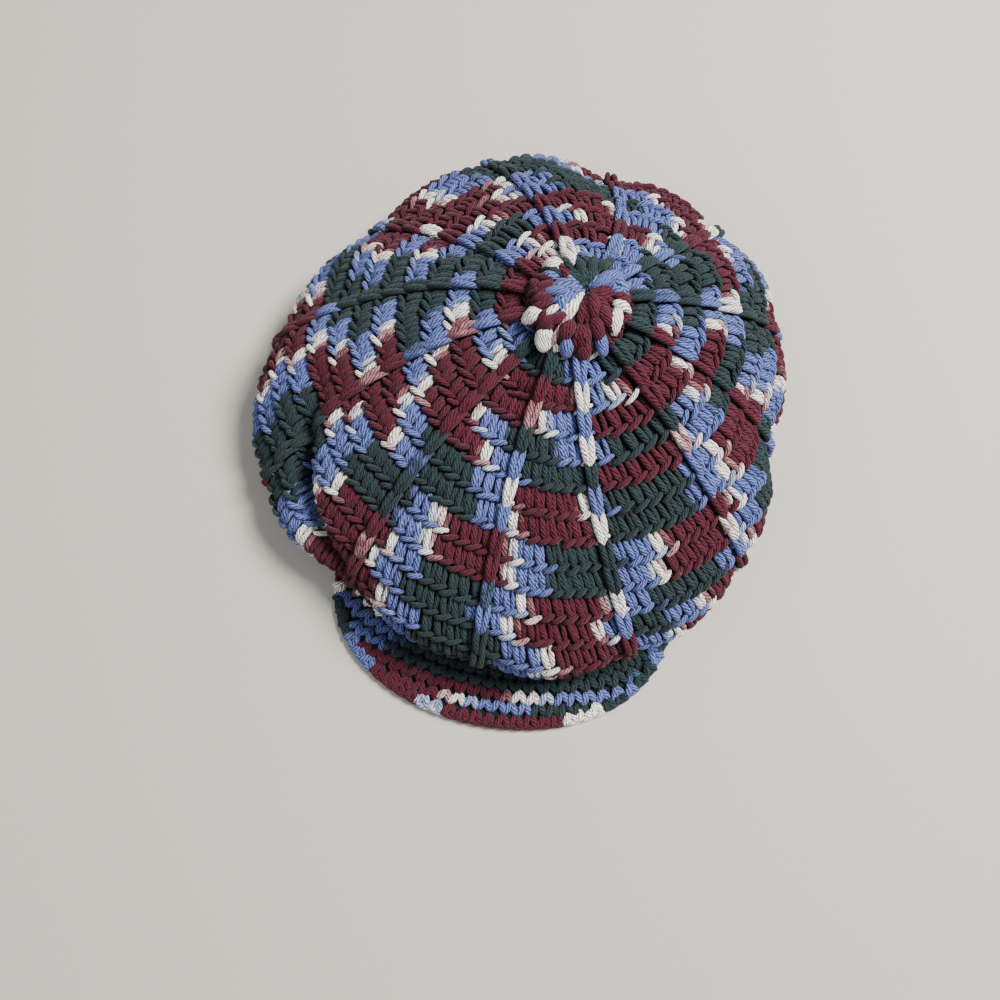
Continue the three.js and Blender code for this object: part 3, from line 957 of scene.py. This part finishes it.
def peak_edge(strands, pitch):
    share = np.linspace(-EDGE_SHARE, EDGE_SHARE, EDGE_STITCHES)
    inner = np.maximum(peak_depth(share) - pitch, 0)
    colours = np.searchsorted([end for end, _ in PEAK_EDGE], share)
    run = np.array([COLOUR_AT[PEAK_EDGE[i][1]] for i in colours])
    lay_close(strands, PEAK_FACING + share * PEAK_SPREAD, inner, PEAK_SPREAD * 2 / EDGE_STITCHES,
              np.full(EDGE_STITCHES, pitch), run)
    length = np.linspace(-LOOP_HALF, LOOP_HALF, strands.rings)
    angles = PEAK_FACING + PEAK_SPREAD * (share[:, None] + length)
    slant = np.linspace(*LOOP_SLANT, strands.rings)
    lift = -LOOP_SINK - LOOP_BEND * np.linspace(-1, 1, strands.rings) ** 2
    out = peak_depth((angles - PEAK_FACING) / PEAK_SPREAD) + slant
    points, normals = peak_side(1)(angles, out, lift)
    strands.add(points, normals, EDGE_LOOP, EDGE_LOOP, run[:, None])


def peak_strands():
    strands = Strands(FEW_RINGS)
    pitch = (PEAK_DEPTH - PEAK_MARGIN) / PEAK_ROWS
    peak_rows(strands, pitch)
    peak_edge(strands, pitch)
    piece = strands.build("peak_stitches", yarn_material("peak_yarn"))
    attach(piece, ["peak"])


def peak_backing():
    share, step = np.meshgrid(PEAK_BACKING_SHARES, PEAK_BACKING_STEPS)
    place = PEAK_FACING + share * PEAK_SPREAD
    out = step * peak_depth(share)
    layers = [peak_side(side)(place, out, -PEAK_BACKING_DEPTH)[0] for side in (1, -1)]
    run = np.full_like(place, COLOUR_AT["green"])
    shell("peak_backing", layers, run, "peak", closed=False)


# Button: posts that come out of a hole near its middle, and bobbles round the rim

# Height over the distance from the middle, as shares of the button's height and radius
BUTTON_SECTION = ((0.0, 0.60), (0.07, 0.62), (0.20, 0.88), (0.45, 1.00), (0.72, 0.98), (0.90, 0.82),
                  (1.00, 0.52))
BUTTON_LEVEL = 0.45             # how much of the crown's fall under it the button doesn't follow
LEVEL_TOP = 0.995               # of the crown's height, from which that fall counts
HOLE = (4.0 * MM, 4.5 * MM)
POST_SWAY = 2                   # degrees that a post strays
POST_WIDTH = 4.4 * MM

# start, end, lift: a post's near and far half, as shares of the way from the hole to the rim
POST_HALVES = ((0.04, 0.62, 0.2), (0.55, 1.0, -0.1))

# A button's strand sinks towards its ends and lies a little low, in steps of 1.4 mm
POST_SINK = 1.6
BOBBLE_SINK = 1.3
BUTTON_LOW = 0.5
BUTTON_STEP = 1.4
BUTTON_THICKEST = 5.5 * MM
PLY_WIDTH = 3.6 * MM            # width of strand that takes one set of plies

BUTTON_BACKING_PLACES = 48
BUTTON_BACKING_STEPS = np.linspace(0.03, 1, 9)
BUTTON_BACKING_DEPTH = 2.0 * MM
BUTTON_BACKING_WALL = 4.5 * MM

# count, near, far: that many posts and the colours of their near and far halves, every 15 degrees
# from +x round to the left
POSTS = (
    (1, "burgundy", "blue"), (2, "blue", "blue"), (1, "blue", "green"), (5, "green", "green"),
    (1, "green", "burgundy"), (1, "blue", "green"), (4, "blue", "burgundy"),
    (1, "cream", "burgundy"), (1, "cream", "pink"), (7, "burgundy", "burgundy"),
)

# x, y from the hole in millimetres, direction in degrees, length, width, lift, colour
BOBBLES = (
    (11.0, 6.0, 20, 15, 6.5, 1.2, "blue"), (8.0, 3.5, 28, 14, 5.5, 1.0, "blue"),
    (15.5, 3.5, -50, 12, 5.0, 0.8, "blue"), (19.0, 2.5, 60, 8, 4.0, 0.2, "blue"),
    (-14.0, -1.0, 182, 14, 5.5, 0.6, "blue"), (-10.0, 1.5, 176, 14, 5.0, 0.8, "blue"),
    (-11.5, -6.0, 250, 9, 5.0, 0.4, "blue"), (-6.5, -7.5, 232, 15, 5.0, 1.4, "cream"),
    (-10.5, -15.0, 235, 8, 4.0, 0.8, "pink"), (-16.5, -10.5, 215, 8, 4.0, 0.8, "cream"),
    (-26.0, -11.5, 205, 9, 8.0, 0.2, "cream"), (-20.0, -22.5, 262, 10, 9.5, 0.4, "cream"),
    (-15.5, 13.5, 170, 9, 8.5, 0.4, "cream"), (-8.0, 18.5, 120, 12, 6.0, 0.6, "cream"),
    (-17.0, 7.5, 160, 8, 4.5, 0.4, "blue"), (-9.5, 7.0, 100, 7, 5.0, 0.0, "burgundy"),
    (-20.0, 2.0, 200, 10, 6.0, 0.0, "burgundy"), (-21.0, -4.0, 190, 10, 6.5, 0.2, "burgundy"),
    (-24.0, 3.0, 110, 10, 6.0, -0.4, "burgundy"), (-13.5, -14.0, 200, 11, 6.5, 0.8, "burgundy"),
    (-18.5, -15.5, 210, 10, 6.5, 0.4, "burgundy"), (-9.5, -20.0, 240, 10, 8.0, 0.6, "burgundy"),
    (-2.0, -23.0, 270, 10, 8.0, 0.4, "burgundy"), (4.5, -19.0, 285, 12, 7.0, 0.6, "burgundy"),
    (8.0, -13.0, 300, 12, 6.5, 0.8, "burgundy"), (3.0, -9.0, 275, 14, 6.5, 1.2, "burgundy"),
    (13.5, -15.0, 262, 12, 7.0, 0.6, "cream"), (16.5, -8.0, 345, 9, 5.0, 0.6, "cream"),
    (16.5, -3.5, 350, 8, 5.0, 0.2, "burgundy"), (-9.5, -27.0, 262, 8, 7.0, -0.3, "blue"),
    (7.0, -25.5, 285, 10, 6.5, -0.3, "blue"), (-1.5, -28.5, 270, 7, 8.0, -0.3, "burgundy"),
    (-2.5, 10.0, 95, 14, 5.5, 0.4, "green"), (3.0, 13.0, 75, 14, 5.5, 0.4, "green"),
    (9.0, 14.5, 40, 12, 5.5, 0.2, "green"), (1.5, 19.0, 150, 10, 5.5, -0.2, "blue"),
)


def button_cloth(x, y, lift):
    """The button's upper face over a point x, y from its middle."""
    bearing = np.degrees(np.arctan2(y, x))
    out = np.minimum(np.hypot(x, y) / BUTTON_RADIUS, 1)
    toward = np.concatenate([rib_column("toward"), [rib_column("toward")[0] - 360]])
    whole = np.mod(bearing - toward[0], -360) + toward[0]
    place = np.interp(-whole, -toward, np.arange(RIB_COUNT + 1.0))
    reach = CROWN_REACH * around("reach", place)
    foot = cloth_point(place, way_at(BUTTON_RADIUS * out / reach), 0)[0][..., 2]
    rise = BUTTON_HEIGHT * np.interp(out, *np.array(BUTTON_SECTION).T)
    height = foot + GAP + BUTTON_SEAT + rise
    height = height + BUTTON_LEVEL * out * np.maximum(CROWN_HEIGHT * LEVEL_TOP - foot, 0)
    return np.stack([CENTRE_X + x, CENTRE_Y + y, height + lift], -1)


def button_strand(strands, middle, direction, length, width, lift, colour, sink):
    """A plump strand over the button, sunk at both ends. Its direction is the photo's."""
    angle = np.radians(direction + CAMERA_AZIMUTH)
    t = np.linspace(-0.5, 0.5, strands.rings)
    x = middle[0] + length * t * np.cos(angle)
    y = middle[1] + length * t * np.sin(angle)
    arch = lift - sink * 4 * t ** 2 - BUTTON_LOW
    points = button_cloth(x, y, arch * MM * BUTTON_STEP)
    normals = np.broadcast_to(np.array([0, 0, 1.0]), points.shape)
    thick = min(width, BUTTON_THICKEST)
    strands.add(points[None], normals[None], width, thick, COLOUR_AT[colour],
                np.round(width / PLY_WIDTH))


def turned(x, y):
    """From the photo's directions, which the camera sees turned, to the frame's."""
    angle = np.radians(CAMERA_AZIMUTH)
    return x * np.cos(angle) - y * np.sin(angle), x * np.sin(angle) + y * np.cos(angle)


def button_strands():
    strands = Strands(BUTTON_RINGS)
    hole = np.array(turned(*HOLE))
    posts = [colours for count, *colours in POSTS for _ in range(count)]
    for number, colours in enumerate(posts):
        direction = number * 360 / len(posts) + rng.normal(0, POST_SWAY)
        ahead = np.array(turned(np.cos(np.radians(direction)), np.sin(np.radians(direction))))
        across = np.dot(ahead, hole)
        edge = -across + np.sqrt(across ** 2 + BUTTON_RADIUS ** 2 - np.dot(hole, hole))
        for (start, end, lift), colour in zip(POST_HALVES, colours):
            middle = hole + ahead * edge * (start + end) / 2
            button_strand(strands, middle, direction, edge * (end - start), POST_WIDTH, lift,
                          colour, POST_SINK)
    for x, y, direction, length, width, lift, colour in BOBBLES:
        middle = hole + np.array(turned(x * MM, y * MM))
        button_strand(strands, middle, direction, length * MM, width * MM, lift, colour,
                      BOBBLE_SINK)
    piece = strands.build("button_stitches", yarn_material("button_yarn"))
    attach(piece, ["button"])


def button_backing():
    bearings = np.arange(BUTTON_BACKING_PLACES) * TURN / BUTTON_BACKING_PLACES
    bearing, out = np.meshgrid(bearings, BUTTON_BACKING_STEPS)
    x = BUTTON_RADIUS * out * np.cos(bearing)
    y = BUTTON_RADIUS * out * np.sin(bearing)
    top = button_cloth(x, y, -BUTTON_BACKING_DEPTH)
    low = at_height(top, top[..., 2] - BUTTON_BACKING_WALL)
    run = np.full_like(out, COLOUR_AT["burgundy"])
    shell("button_backing", [top, low], run, "button")


crown_strands()
rib_strands()
inside_strands()
crown_backing()
band_strands()
band_backing()
peak_strands()
peak_backing()
button_strands()
button_backing()


# Floor, light and camera

FLOOR_HALF = 6.0
FLOOR_COLOUR = (0.50, 0.47, 0.42, 1)
LIGHTS_AIM = (0, 0, 0.03)


def floor():
    mesh = bpy.data.meshes.new("floor")
    corners = [(x * FLOOR_HALF, y * FLOOR_HALF, 0) for x, y in ((-1, -1), (1, -1), (1, 1), (-1, 1))]
    mesh.from_pydata(corners, [], [(0, 1, 2, 3)])
    plane = add_object("floor", mesh)
    material = bpy.data.materials.new("floor")
    material.use_nodes = True
    shader = material.node_tree.nodes["Principled BSDF"]
    shader.inputs["Base Color"].default_value = FLOOR_COLOUR
    shader.inputs["Roughness"].default_value = 0.95
    mesh.materials.append(material)


def area_light(name, position, size, power, colour):
    data = bpy.data.lights.new(name, "AREA")
    data.shape = "DISK"
    data.size = size
    data.energy = power
    data.color = colour
    light = add_object(name, data)
    light.location = position
    toward = Vector(LIGHTS_AIM) - Vector(position)
    light.rotation_euler = toward.to_track_quat("-Z", "Y").to_euler()


def lights():
    area_light("key", (0.9, 0.5, 1.5), size=0.7, power=82, colour=(1.0, 0.98, 0.95))
    area_light("fill", (-1.2, -0.9, 1.4), size=1.6, power=9, colour=(0.93, 0.96, 1.0))
    world = bpy.data.worlds.new("studio")
    bpy.context.scene.world = world
    world.use_nodes = True
    background = world.node_tree.nodes["Background"]
    background.inputs["Color"].default_value = (0.95, 0.97, 1.0, 1)
    background.inputs["Strength"].default_value = 0.42


CAMERA_TARGET = Vector((-9.8 * MM, -29.5 * MM, 50 * MM)) + Vector(ORIGIN)
CAMERA_DISTANCE = 480 * MM
CAMERA_ELEVATION = 80
VIEW_HALF = 250 * MM            # half of what the view takes in at the target
SENSOR = 36                     # millimetres


def camera():
    azimuth = np.radians(CAMERA_AZIMUTH)
    elevation = np.radians(CAMERA_ELEVATION)
    level = np.cos(elevation)
    back = Vector((np.sin(azimuth) * level, -np.cos(azimuth) * level, np.sin(elevation)))
    data = bpy.data.cameras.new("photo_camera")
    data.sensor_width = SENSOR
    data.lens = SENSOR * CAMERA_DISTANCE / (2 * VIEW_HALF)
    view = add_object("photo_camera", data)
    view.location = CAMERA_TARGET + back * CAMERA_DISTANCE
    view.rotation_euler = (-back).to_track_quat("-Z", "Y").to_euler()
    bpy.context.scene.camera = view


floor()
lights()
camera()
